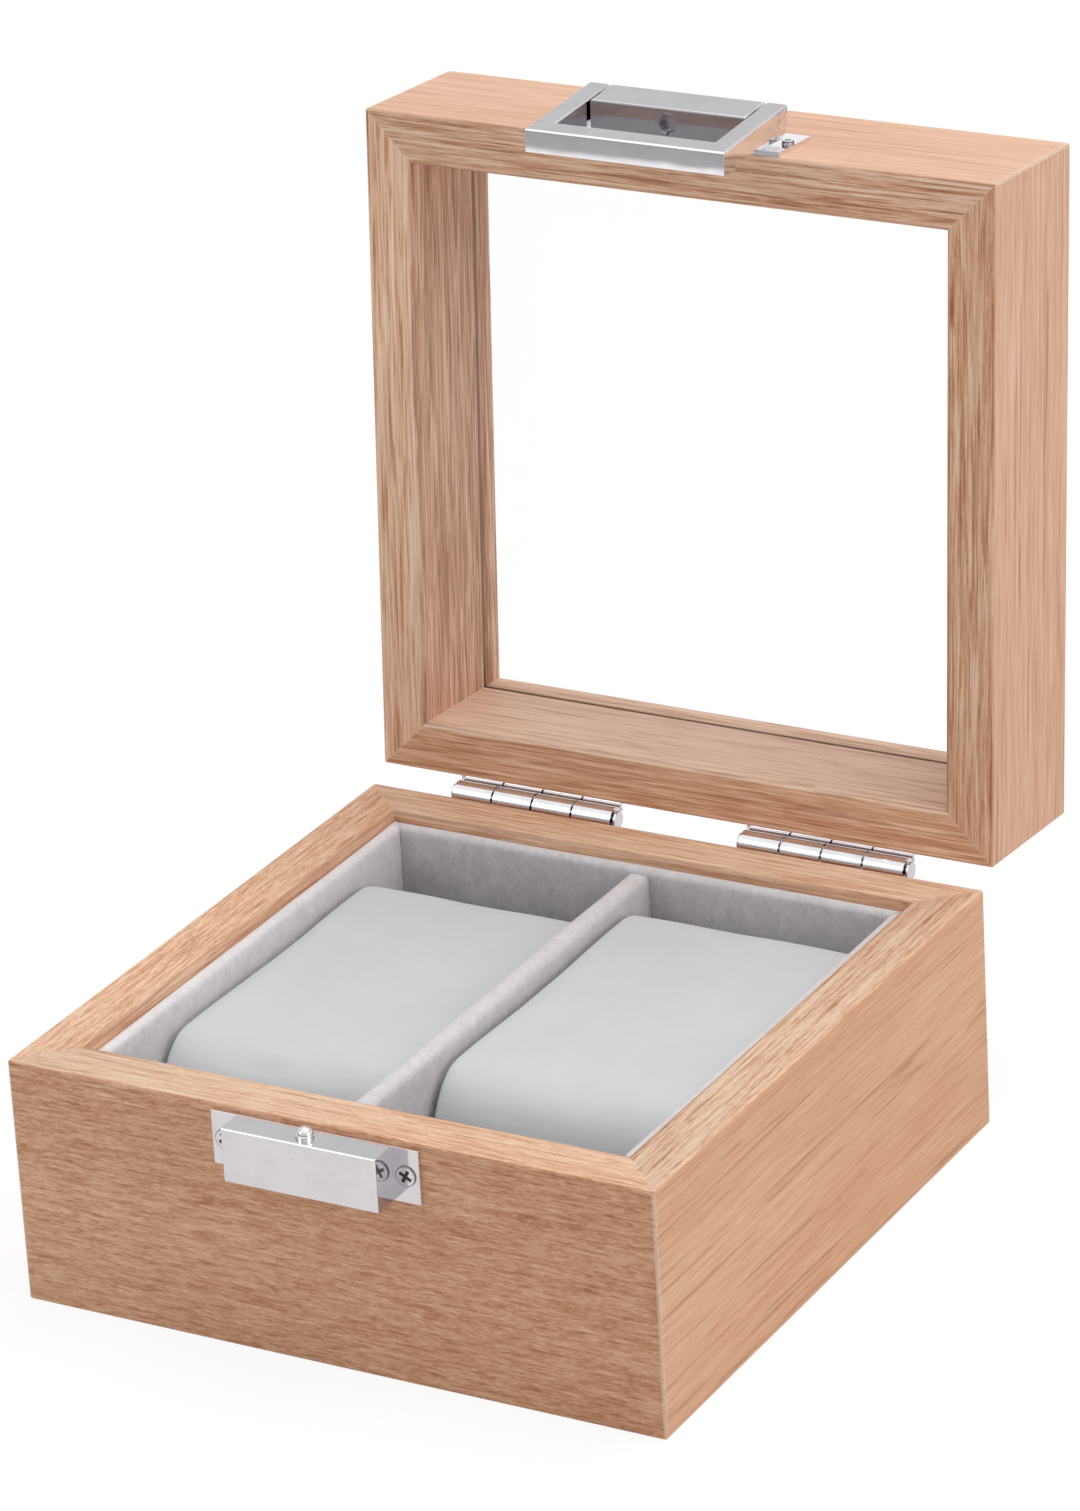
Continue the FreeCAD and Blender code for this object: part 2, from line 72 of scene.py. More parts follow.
class Wire:
    # one output of a node tree; sums on it add Math nodes
    def __init__(self, tree, socket=None):
        self.tree = tree
        self.socket = socket

    def add(self, kind, settings=None, inputs=None, out=0):
        node = self.tree.nodes.new("ShaderNode" + kind)
        for key, value in (settings or {}).items():
            if key == "stops":
                elements = node.color_ramp.elements
                while len(elements) < len(value):
                    elements.new(0.5)
                for element, (place, level) in zip(elements, value):
                    element.position = place
                    element.color = (*level, 1) if hasattr(level, "__len__") else (level,) * 3 + (1,)
            else:
                setattr(node, key, value)
        for key, value in (inputs or {}).items():
            if isinstance(value, Wire):
                self.tree.links.new(value.socket, node.inputs[key])
            else:
                node.inputs[key].default_value = value
        return Wire(self.tree, node.outputs[out] if node.outputs else None)

    def math(self, operation, left, right):
        return self.add("Math", {"operation": operation}, {0: left, 1: right})

    def __add__(self, other):
        return self.math("ADD", self, other)

    __radd__ = __add__

    def __sub__(self, other):
        return self.math("SUBTRACT", self, other)

    def __rsub__(self, other):
        return self.math("SUBTRACT", other, self)

    def __mul__(self, other):
        return self.math("MULTIPLY", self, other)

    __rmul__ = __mul__

    def __gt__(self, other):
        return self.math("GREATER_THAN", self, other)

    def __lt__(self, other):
        return self.math("LESS_THAN", self, other)

    def mix(self, factor, first, second):
        return self.add("Mix", {"data_type": "RGBA"}, {0: factor, 6: first, 7: second}, 2)

    def ramp(self, *stops):
        return self.add("ValToRGB", {"stops": stops}, {0: self})

    def size(self):
        return self.math("ABSOLUTE", self, 0)

    def noise(self, vector, scale, shift=(0, 0, 0), detail=2.0, rough=0.5, twist=0.0):
        placed = self.add("Mapping", None, {"Vector": vector, "Scale": scale, "Location": shift})
        inputs = {"Vector": placed, "Scale": 1.0, "Detail": detail, "Roughness": rough, "Distortion": twist}
        return self.add("TexNoise", None, inputs)


def newMaterial(name):
    material = bpy.data.materials.new(name)
    material.use_nodes = True
    material.node_tree.nodes.clear()
    return material, Wire(material.node_tree)


def surface(start, inputs):
    shader = start.add("BsdfPrincipled", None, inputs)
    start.add("OutputMaterial", None, {"Surface": shader})


def colour(red, green, blue):
    return (red, green, blue, 1)


# wood-grain wrap: short dashes on some faces and long wavy fibres on others, with paler upright corners
# that are partly wear and partly a painted highlight; the shares say how much of each goes into the tone or the
# colour
oakLook = {
    "dark": colour(0.425, 0.180, 0.084),
    "mid": colour(0.690, 0.366, 0.217),
    "light": colour(0.880, 0.585, 0.400),
    "high": colour(0.980, 0.740, 0.540),
    "pore": colour(0.330, 0.135, 0.062),
    "worn": colour(0.880, 0.690, 0.550),
    "paleLow": colour(0.600, 0.375, 0.275),
    "paleHigh": colour(0.950, 0.690, 0.555),
    "fleckShare": 1.5, "speckShare": 1.1, "fibreShare": 1.8, "hairShare": 1.5, "bandShare": 0.26,
    "poreShare": 0.14, "lineShare": 0.46, "dashShare": 0.24, "mitreShare": 0.3, "mitreWidth": 0.14 * mm,
    "toneSpan": 0.7, "lift": 0.3, "liftDepth": 0.05 * mm, "gloss": 0.16,
}

# the mesh gives each face's figure (strength of the grain), fibre (share of long fibres), shade (painted light:
# lighter or darker by how the face meets the light), pale (a painted sheen that washes out the faces that catch
# the light) and the share of its paler corners (wear and a painted highlight), and each point's place in the grain
faceKeys = ("figure", "fibre", "shade", "pale", "worn")


def oak(name, shift, run, lightDrift, reach):
    look = oakLook
    material, start = newMaterial(name)
    grain = start.add("Attribute", {"attribute_name": "grain"}, None, "Vector")
    figure, fibre, shade, pale, worn = [start.add("Attribute", {"attribute_name": key}, None, "Fac")
                                        for key in faceKeys]
    bands = start.noise(grain, (9, 60, 60), shift, 2.0, 0.5, 0.3)
    flecks = start.noise(grain, (run, 1700, 1700), shift, 3.0, 0.65, 0.6)
    specks = start.noise(grain, (run * 3.5, 3200, 3200), shift, 2.0, 0.6, 0.3)
    fibres = start.noise(grain, (30, 900, 900), shift, 4.0, 0.70, 1.1)
    hairs = start.noise(grain, (62, 2300, 2300), shift, 3.0, 0.6, 0.7)
    veins = start.noise(grain, (1.5, 230, 230), shift, 1.0, 0.5, 0.0)
    breaks = start.noise(grain, (45, 330, 330), shift, 1.0)
    dashTone = (flecks - 0.5) * look["fleckShare"] + (specks - 0.5) * look["speckShare"]
    longTone = (fibres - 0.5) * look["fibreShare"] + (hairs - 0.5) * look["hairShare"]
    tone = dashTone + (longTone - dashTone) * fibre
    along, inward = [start.add("SeparateXYZ", None, {0: grain}, axis) for axis in "XY"]
    # painted light: each face's shade lifts or lowers the tone by how the face meets the light, and the drift
    # tilts it along the board as the light falls off
    tone = 0.5 + shade + tone * figure + (bands - 0.5) * look["bandShare"] + along * (lightDrift / reach)
    base = (tone * look["toneSpan"]).ramp((0.105, look["dark"][:3]), (0.35, look["mid"][:3]),
                                          (0.595, look["light"][:3]), (0.85, look["high"][:3]))
    paleBase = tone.ramp((0.15, look["paleLow"][:3]), (0.85, look["paleHigh"][:3]))
    # painted sheen: faces that catch the light are washed out towards pale colours by their pale share
    base = start.mix(pale, base, paleBase)
    pores = hairs.ramp((0.33, 1), (0.43, 0)) * figure
    lines = (veins - 0.5).size().ramp((0.005, 1), (0.015, 0)) * breaks.ramp((0.47, 0), (0.56, 1))
    dashes = flecks.ramp((0.34, 1), (0.42, 0)) * (1 - fibre)
    darker = pores * look["poreShare"] + lines * fibre * look["lineShare"] + dashes * look["dashShare"]
    base = start.mix(darker, base, look["pore"])
    mitre = (reach - along.size() - inward) < look["mitreWidth"]
    # paler corners, wear and a painted highlight, mixed with paler mitre lines
    base = start.mix(worn * (0.3 + fibres * 0.6) + mitre * look["mitreShare"], base, look["worn"])
    height = tone - pores * 0.4
    lift = start.add("Bump", None, {"Strength": look["lift"], "Distance": look["liftDepth"],
                                    "Height": height})
    surface(start, {"Base Color": base, "Roughness": 0.46 + specks * 0.16, "Normal": lift,
                    "Specular IOR Level": look["gloss"]})
    return material


def velvet(name):
    look = {"low": colour(0.42, 0.40, 0.408), "high": colour(0.86, 0.825, 0.838), "rise": 45 * mm,
            "napShare": 0.7, "pileShare": 0.6, "start": -0.4, "sheen": 0.3, "sheenRough": 0.45, "gloss": 0.15,
            "lift": 0.5, "liftDepth": 0.12 * mm}
    material, start = newMaterial(name)
    place = start.add("TexCoord", None, None, "Object")
    nap = start.noise(place, (330, 330, 280), (0, 0, 0), 4.0, 0.7, 0.5)
    pile = start.noise(place, (1500, 1500, 1300), (3, 1, 2), 3.0, 0.75)
    # painted shade and highlight: the lining is darker towards the bottom and lighter along its rounded top, over
    # the rise
    height = start.add("SeparateXYZ", None, {0: place}, "Z")
    level = (height * (1 / look["rise"])).ramp((0.60, 0.0), (0.95, 0.32), (1.0, 0.60))
    # painted light of each card
    brush = start.add("Attribute", {"attribute_name": "brush"}, None, "Fac")
    paler = nap * look["napShare"] + pile * look["pileShare"] + look["start"] + level + brush
    base = start.mix(paler, look["low"], look["high"])
    lift = start.add("Bump", None, {"Strength": look["lift"], "Distance": look["liftDepth"], "Height": pile})
    surface(start, {"Base Color": base, "Roughness": 0.86 + pile * 0.12, "Normal": lift,
                    "Sheen Weight": look["sheen"], "Sheen Roughness": look["sheenRough"],
                    "Specular IOR Level": look["gloss"]})
    return material


# painted light: the cover is paler where the mesh says so, on the noses that face the front
def suede(name):
    look = {"low": colour(0.62, 0.635, 0.648), "high": colour(0.75, 0.762, 0.775),
            "lifted": colour(0.92, 0.935, 0.945), "cloudShare": 0.7, "napShare": 0.35, "start": -0.05,
            "sheen": 0.2, "sheenRough": 0.5, "gloss": 0.15, "lift": 0.35, "liftDepth": 0.1 * mm}
    material, start = newMaterial(name)
    place = start.add("TexCoord", None, None, "Object")
    cloud = start.noise(place, (70, 45, 70), (5, 2, 0), 4.0, 0.55, 0.6)
    nap = start.noise(place, (1500, 900, 1500), (0, 4, 1), 3.0, 0.7)
    paler = cloud * look["cloudShare"] + nap * look["napShare"] + look["start"]
    base = start.mix(paler, look["low"], look["high"])
    lifted = start.add("Attribute", {"attribute_name": "lifted"}, None, "Fac")
    base = start.mix(lifted, base, look["lifted"])
    lift = start.add("Bump", None, {"Strength": look["lift"], "Distance": look["liftDepth"], "Height": nap})
    surface(start, {"Base Color": base, "Roughness": 0.82 + nap * 0.15, "Normal": lift,
                    "Sheen Weight": look["sheen"], "Sheen Roughness": look["sheenRough"],
                    "Specular IOR Level": look["gloss"]})
    return material


# polished plate; a screw head has a dark cross, drawn from the head's own place in radii from its middle: the head
# is flat, so the cross is painted shade where its recess would be, and a darker ring at the rim is a painted
# shadow
def chrome(name, crossed=False):
    look = {"clean": colour(0.85, 0.835, 0.865), "dull": colour(0.77, 0.755, 0.785),
            "paintedHighlight": colour(0.95, 0.94, 0.95), "recess": colour(0.075, 0.062, 0.058),
            "deep": colour(0.27, 0.255, 0.285), "wave": 0.05 * mm, "bulge": 0.28 * mm, "edgeRough": 0.35,
            "recessRough": 0.3, "paintedShadeShare": 0.6, "armWidth": 0.17, "armLength": 0.66, "rim": 0.90,
            "rimShadowShare": 0.7}
    material, start = newMaterial(name)
    place = start.add("TexCoord", None, None, "Object")
    smudge = start.noise(place, (160, 160, 160), (1, 7, 3), 4.0, 0.6, 0.4)
    fine = start.noise(place, (2400, 2400, 2400), (2, 0, 5), 2.0)
    base = start.mix(smudge.ramp((0.45, 0), (0.75, 1)), look["clean"], look["dull"])
    edge = start.add("Attribute", {"attribute_name": "edge"}, None, "Fac")
    dulled = start.add("Attribute", {"attribute_name": "dulled"}, None, "Fac")
    # painted highlight on the eased edges that the mesh marks
    base = start.mix(edge, base, look["paintedHighlight"])
    # painted shade and dark reflection on the faces that the mesh marks, which are also made less metallic
    base = start.mix(dulled, base, look["deep"])
    rough = 0.03 + smudge * 0.05 + fine * 0.03 + edge * look["edgeRough"]
    swell = start.add("Attribute", {"attribute_name": "swell"}, None, "Fac")
    waves = start.noise(place, (170, 170, 170), (4, 2, 6), 1.0)
    height = waves * look["wave"] - (swell - 0.5) * (swell - 0.5) * look["bulge"]
    lift = start.add("Bump", None, {"Strength": 1.0, "Distance": 1.0, "Height": height})
    # painted shade: a dark cross in place of the recess, and a painted shadow ring at the rim
    if crossed:
        head = start.add("Attribute", {"attribute_name": "head"}, None, "Vector")
        across, along = [start.add("SeparateXYZ", None, {0: head}, axis).size() for axis in "XY"]
        arms = start.math("MINIMUM", across, along) < look["armWidth"]
        cross = arms * (start.math("MAXIMUM", across, along) < look["armLength"])
        rimShadow = start.add("VectorMath", {"operation": "LENGTH"}, {0: head}, "Value") > look["rim"]
        recess = start.math("MAXIMUM", cross, rimShadow * look["rimShadowShare"])
        base = start.mix(recess, base, look["recess"])
        rough = rough + recess * look["recessRough"]
    metal = 1.0 - dulled * dulled * look["paintedShadeShare"]
    surface(start, {"Base Color": base, "Metallic": metal, "Roughness": rough, "Normal": lift})
    return material


def clearGlass(name):
    look = {"index": 1.45, "share": 0.35}
    material, start = newMaterial(name)
    place = start.add("TexCoord", None, None, "Object")
    haze = start.noise(place, (40, 40, 40), (0, 0, 0), 3.0)
    clear = start.add("BsdfTransparent", None, {"Color": colour(1, 1, 1)})
    gloss = start.add("BsdfGlossy", None, {"Roughness": 0.01 + haze * 0.02})
    share = start.add("Fresnel", None, {"IOR": look["index"]}) * look["share"]
    pane = start.add("MixShader", None, {0: share, 1: clear, 2: gloss})
    start.add("OutputMaterial", None, {"Surface": pane})
    return material


def felt(name):
    look = {"low": colour(0.055, 0.053, 0.055), "high": colour(0.120, 0.115, 0.118)}
    material, start = newMaterial(name)
    place = start.add("TexCoord", None, None, "Object")
    fibres = start.noise(place, (900, 1300, 900), (0, 0, 0), 4.0, 0.75, 1.2)
    base = start.mix(fibres, look["low"], look["high"])
    lift = start.add("Bump", None, {"Strength": 0.6, "Distance": 0.2 * mm, "Height": fibres})
    surface(start, {"Base Color": base, "Roughness": 0.95, "Normal": lift, "Specular IOR Level": 0.1})
    return material


def fibreboard(name):
    look = {"low": colour(0.30, 0.20, 0.12), "high": colour(0.42, 0.30, 0.19)}
    material, start = newMaterial(name)
    place = start.add("TexCoord", None, None, "Object")
    chips = start.noise(place, (1100, 1100, 1100), (0, 0, 0), 4.0, 0.7)
    base = start.mix(chips, look["low"], look["high"])
    surface(start, {"Base Color": base, "Roughness": 0.7 + chips * 0.2})
    return material


dressed = set()


def pieceFrom(bm, name, material, nodes, hard=True):
    bmesh.ops.recalc_face_normals(bm, faces=bm.faces)
    mesh = bpy.data.meshes.new(name)
    bm.to_mesh(mesh)
    bm.free()
    mesh.materials.append(material)
    mesh.shade_smooth()
    piece = bpy.data.objects.new(name, mesh)
    scene.collection.objects.link(piece)
    if hard:
        piece.modifiers.new("even shading", "WEIGHTED_NORMAL")
    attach(piece, bodyOf[nodes[0]])
    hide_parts(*nodes)
    dressed.update(nodes)
    return piece


def whole(bm):
    return bm.verts[:] + bm.edges[:] + bm.faces[:]


def block(bm, low, high):
    size = high - low
    place = Matrix.Translation((low + high) / 2) @ Matrix.Diagonal((*size, 1))
    return bmesh.ops.create_cube(bm, size=1, matrix=place)["verts"]


def cutAway(bm, point, normal):
    bmesh.ops.bisect_plane(bm, geom=whole(bm), dist=tiny, plane_co=point, plane_no=normal, clear_outer=True)
    bmesh.ops.holes_fill(bm, edges=[edge for edge in bm.edges if edge.is_boundary])


def soften(bm, edges, width, segments):
    return bmesh.ops.bevel(bm, geom=edges, offset=width, segments=segments, profile=0.5, affect="EDGES",
                           clamp_overlap=True, material=-1)["faces"]


# a groove or rebate in a board's inner face, from one height to another
def notch(bm, deepY, lowZ, highZ):
    for point, normal in ((Vector((0, deepY, 0)), (0, 1, 0)), (Vector((0, 0, lowZ)), (0, 0, 1)),
                          (Vector((0, 0, highZ)), (0, 0, 1))):
        bmesh.ops.bisect_plane(bm, geom=whole(bm), dist=tiny, plane_co=point, plane_no=normal)
    gone = []
    for face in bm.faces:
        middle = face.calc_center_bounds()
        if middle.y > deepY + tiny and lowZ + tiny < middle.z < highZ - tiny:
            gone.append(face)
    bmesh.ops.delete(bm, geom=gone, context="FACES")
    for level in (lowZ, highZ):
        ends = [vertex for vertex in bm.verts if vertex.is_boundary
                and abs(vertex.co.y - deepY) < 2 * tiny and abs(vertex.co.z - level) < 2 * tiny]
        if len(ends) == 2:
            bm.edges.new(ends)
    bmesh.ops.edgenet_fill(bm, edges=[edge for edge in bm.edges if edge.is_boundary or edge.is_wire])


quarterTurns = {"front": 0, "right": 1, "back": 2, "left": 3}
caseLook = {"round": 0.5 * mm, "rimRound": 0.8 * mm, "steps": 3, "cornerWearAndHighlight": 0.8, "upright": 0.2,
            "flat": 0.7}


# the long inner edges of a board at one height
def innerEdges(bm, innerY, level):
    return [edge for edge in bm.edges if all(abs(vertex.co.z - level) < 2 * tiny
            and abs(vertex.co.y - innerY) < 2 * tiny for vertex in edge.verts)]


# one mitred side of the case, made as the front one and turned to its place
def caseSide(side, low, high, thickness, rimZ, notchBox, bevel, name, node, look):
    turns = quarterTurns[side]
    half = Vector((high.x, high.y, 0))
    if turns % 2:
        half = Vector((high.y, high.x, 0))
    bm = bmesh.new()
    layers = {key: bm.faces.layers.float.new(key) for key in faceKeys}
    block(bm, Vector((-half.x, -half.y, low.z)), Vector((half.x, half.y, high.z)))
    # the eased upright corners are painted paler: part wear, part painted highlight
    for face in soften(bm, bm.edges[:], caseLook["round"], caseLook["steps"]):
        if abs(face.normal.z) < caseLook["upright"]:
            face[layers["worn"]] = caseLook["cornerWearAndHighlight"]
    innerY = thickness - half.y
    cutAway(bm, Vector((0, innerY, 0)), (0, 1, 0))
    for hand in (-1, 1):
        cutAway(bm, Vector((hand * half.x, -half.y, 0)), Vector((hand, 1, 0)).normalized())
    deep, lowZ, highZ = notchBox
    notch(bm, innerY - deep, lowZ, highZ)
    soften(bm, innerEdges(bm, innerY, rimZ), caseLook["rimRound"], caseLook["steps"])
    if bevel:
        soften(bm, innerEdges(bm, innerY, high.z), bevel, 1)
    bmesh.ops.recalc_face_normals(bm, faces=bm.faces)
    for face in bm.faces:
        kind = "inner"
        middle = face.calc_center_bounds()
        if face.normal.y < -0.5:
            kind = "outer"
        elif abs(face.normal.z) > caseLook["flat"] and middle.y < innerY - caseLook["rimRound"]:
            kind = "rim" if abs(middle.z - rimZ) < caseLook["round"] else "outer"
        inNotch = lowZ - tiny < middle.z < highZ + tiny
        if inNotch and innerY - deep - tiny < middle.y < innerY - tiny:
            kind = "slot"
        # each face gets the figure, fibre, painted light (shade), painted sheen (pale) and corner shares of its
        # kind
        for key, value in zip(faceKeys, look[kind]):
            face[layers[key]] = value
    grain = bm.verts.layers.float_vector.new("grain")
    for vertex in bm.verts:
        vertex[grain] = vertex.co + Vector((0, half.y, -low.z))
    turn = Matrix.Rotation(turns * math.pi / 2, 4, "Z")
    if bodyOf[node] == "lid":
        turn = openTurn @ turn
    bmesh.ops.transform(bm, matrix=turn, verts=bm.verts)
    wood = oak("oak " + name, look["shift"], look["run"], look["lightDrift"], half.x)
    return pieceFrom(bm, name, wood, [node])


# base boards and lid rails: figure, fibre, shade and pale of the outer, inner, rim and slot faces, the run
# of the dashes along the grain, and the drift of the tone from end to end; shade and pale are painted light,
# lighter and paler on the rims and faces that meet the light and darker in the slot as painted shade in the
# groove, and the drift is painted light falling off along the board
boardShared = {"run": 160, "lightDrift": 0.0, "inner": (0.9, 0.7, 0.18, 0.0), "slot": (0.5, 1.0, -0.3, 0.0)}
boardLook = {
    "front": {"shift": (0.3, 1.7, 4.1), "run": 190, "lightDrift": -0.05,
              "outer": (0.92, 0.25, 0.035, 0.0), "rim": (1.3, 0.55, 0.33, 0.0)},
    "right": {"shift": (7.3, 5.2, 2.6), "run": 130,
              "outer": (0.40, 0.75, 0.10, 0.0), "rim": (1.8, 0.5, 0.38, 0.0)},
    "back": {"shift": (3.9, 8.1, 6.4), "outer": (0.9, 0.5, 0.0, 0.0), "rim": (1.2, 0.7, 0.24, 0.0)},
    "left": {"shift": (9.2, 2.8, 1.3), "outer": (0.5, 1.0, 0.09, 0.0), "rim": (1.3, 0.35, 0.24, 0.0)},
}
railShared = {"run": 160, "lightDrift": 0.0, "slot": (0.2, 1.0, -0.8, 0.0)}
railLook = {
    "front": {"shift": (5.5, 0.7, 8.8), "outer": (0.5, 0.8, 0.09, 0.42), "inner": (1.0, 0.9, 0.0, 0.2),
              "rim": (1.5, 0.8, 0.16, 0.1)},
    "right": {"shift": (1.4, 6.6, 3.7), "outer": (0.42, 1.0, 0.06, 0.25), "inner": (1.0, 0.9, 0.0, 0.1),
              "rim": (1.35, 0.8, 0.14, 0.0)},
    "back": {"shift": (8.7, 3.3, 0.9), "outer": (0.6, 1.0, 0.1, 0.1), "inner": (1.3, 1.0, 0.34, 0.6),
             "rim": (1.0, 0.9, 0.06, 0.0)},
    "left": {"shift": (2.2, 9.4, 5.8), "outer": (0.5, 1.0, 0.1, 0.2), "inner": (1.4, 1.0, -0.03, 0.5),
             "rim": (1.3, 0.9, 0.28, 0.1)},
}
boardLow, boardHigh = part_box("base_front_board")
boardThickness = boardHigh.y - boardLow.y
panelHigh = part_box("base_bottom_panel")[1]
glassLow, glassHigh = closedBox("lid_glass")
railLow, railHigh = closedBox("lid_front_rail")
railThickness = railHigh.y - railLow.y
windowEdge = max(point.y for point in closedPoints("lid_front_rail") if point.z > railHigh.z - 2 * tiny)
windowBevel = railHigh.y - windowEdge
rebateGap = 0.2 * mm
glassGap = 0.15 * mm
shadowLine = 1.0 * mm  # the open groove that shows as a dark line in front of the glass
halfX = boardHigh.x
halfY = -boardLow.y
rebate = (panelHigh.x - halfX + boardThickness + rebateGap, boardLow.z - boardThickness, panelHigh.z)
groove = (glassHigh.x - halfX + railThickness + glassGap, glassLow.z - shadowLine, glassLow.z)
for side in quarterTurns:
    caseSide(side, Vector((-halfX, -halfY, boardLow.z)), Vector((halfX, halfY, boardHigh.z)), boardThickness,
             boardHigh.z, rebate, 0, side + "_board", "base_" + side + "_board",
             {**boardShared, **boardLook[side]})
    caseSide(side, Vector((-halfX, -halfY, railLow.z)), Vector((halfX, halfY, railHigh.z)), railThickness,
             railLow.z, groove, windowBevel, side + "_rail", "lid_" + side + "_rail",
             {**railShared, **railLook[side]})
print("case boards and lid rails made, window bevel", round(windowBevel / mm, 2), "mm")

# velvet lining: covered cards with rounded tops, slightly uneven as glued cloth is
liningLook = {"round": 1.15 * mm, "steps": 5, "wave": 0.16 * mm, "waveSize": 55.0, "cell": 3.0 * mm,
              "dividerRound": 1.75 * mm, "dividerSteps": 6, "seedStep": 3.0, "dividerSeed": 17.0}
# painted light per card: the left card, facing the right lamp, lighter; the back card and divider darker
paintedCardLightLook = {"front": 0.0, "right": 0.0, "back": -0.10, "left": 0.16, "divider": -0.03}
velvetGrey = velvet("grey velvet")


def divide(bm, cell):
    for axis in range(3):
        spans = [vertex.co[axis] for vertex in bm.verts]
        low, high = min(spans), max(spans)
        count = int((high - low) / cell)
        for step in range(1, count):
            point = Vector((0, 0, 0))
            point[axis] = low + (high - low) * step / count
            normal = Vector((0, 0, 0))
            normal[axis] = 1
            bmesh.ops.bisect_plane(bm, geom=whole(bm), dist=tiny, plane_co=point, plane_no=normal)


# painted light: a piece is made lighter or darker by how it faces the light
def paintCardLight(bm, share):
    brush = bm.faces.layers.float.new("brush")
    for face in bm.faces:
        face[brush] = share


def uneven(bm, look, seed):
    bm.normal_update()
    for vertex in bm.verts:
        swell = noise.noise(vertex.co * look["waveSize"] + Vector((seed, 0, 0)))
        vertex.co += vertex.normal * swell * look["wave"]


def liningCard(side, seed):
    node = "lining_" + side
    low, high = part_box(node)
    turns = quarterTurns[side]
    back = Matrix.Rotation(-turns * math.pi / 2, 4, "Z")
    ends = [back @ low, back @ high]
    low = Vector([min(end[axis] for end in ends) for axis in range(3)])
    high = Vector([max(end[axis] for end in ends) for axis in range(3)])
    bm = bmesh.new()
    block(bm, low, high)
    for hand in (-1, 1):
        cutAway(bm, Vector((hand * high.x, low.y, 0)), Vector((hand, 1, 0)).normalized())
    top = [edge for edge in bm.edges if all(vertex.co.z > high.z - tiny for vertex in edge.verts)
           and abs(edge.verts[0].co.y - edge.verts[1].co.y) < tiny]
    soften(bm, top, liningLook["round"], liningLook["steps"])
    divide(bm, liningLook["cell"])
    uneven(bm, liningLook, seed)
    paintCardLight(bm, paintedCardLightLook[side])
    bmesh.ops.transform(bm, matrix=Matrix.Rotation(turns * math.pi / 2, 4, "Z"), verts=bm.verts)
    pieceFrom(bm, side + "_lining", velvetGrey, [node], hard=False)


for count, side in enumerate(quarterTurns):
    liningCard(side, liningLook["seedStep"] * count)
dividerLow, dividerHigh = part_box("centre_divider")
bm = bmesh.new()
block(bm, dividerLow, dividerHigh)
topEdges = [edge for edge in bm.edges if all(vertex.co.z > dividerHigh.z - tiny for vertex in edge.verts)]
soften(bm, topEdges, liningLook["dividerRound"], liningLook["dividerSteps"])
divide(bm, liningLook["cell"])
uneven(bm, liningLook, liningLook["dividerSeed"])
paintCardLight(bm, paintedCardLightLook["divider"])
pieceFrom(bm, "divider", velvetGrey, ["centre_divider"], hard=False)
print("lining made")

# watch pillows: foam blocks with rounded noses in a tight suede cover, puffed by a short simulation
pillowLook = {"draw": 0.2 * mm, "noseReach": 10.8 * mm, "noseShare": 0.97, "noseSteps": 12, "edge": 1.0 * mm,
              "edgeSteps": 4, "voxel": 1.2 * mm, "pressure": 4.0, "mass": 0.05, "frames": 20, "cap": 0.4 * mm,
              "calm": 12, "sideways": 0.3, "crown": 0.4 * mm, "lifted": 0.3}
suedeGrey = suede("pale grey suede")


def puff(piece):
    rest = [vertex.co.copy() for vertex in piece.data.vertices]
    cloth = piece.modifiers.new("puff", "CLOTH")
    cloth.settings.use_pressure = True
    cloth.settings.uniform_pressure_force = pillowLook["pressure"]
    cloth.settings.effector_weights.gravity = 0
    cloth.settings.mass = pillowLook["mass"]
    for step in range(1, pillowLook["frames"] + 1):
        scene.frame_set(step)
    puffed = piece.evaluated_get(bpy.context.evaluated_depsgraph_get()).to_mesh()
    moves = [vertex.co - start for vertex, start in zip(puffed.vertices, rest)]
    piece.evaluated_get(bpy.context.evaluated_depsgraph_get()).to_mesh_clear()
    piece.modifiers.remove(cloth)
    scene.frame_set(1)
    most = max(move.length for move in moves)
    near = [[] for move in moves]
    for edge in piece.data.edges:
        first, second = edge.vertices
        near[first].append(second)
        near[second].append(first)
    for step in range(pillowLook["calm"]):
        moves = [sum((moves[other] for other in others), move) / (len(others) + 1)
                 for move, others in zip(moves, near)]
    for vertex, move in zip(piece.data.vertices, moves):
        if move.length > pillowLook["cap"]:
            move = move * (pillowLook["cap"] / move.length)
        move.x *= pillowLook["sideways"]
        vertex.co += move
    print(piece.name, "puffed by up to", round(most / mm, 2), "mm before the cap")


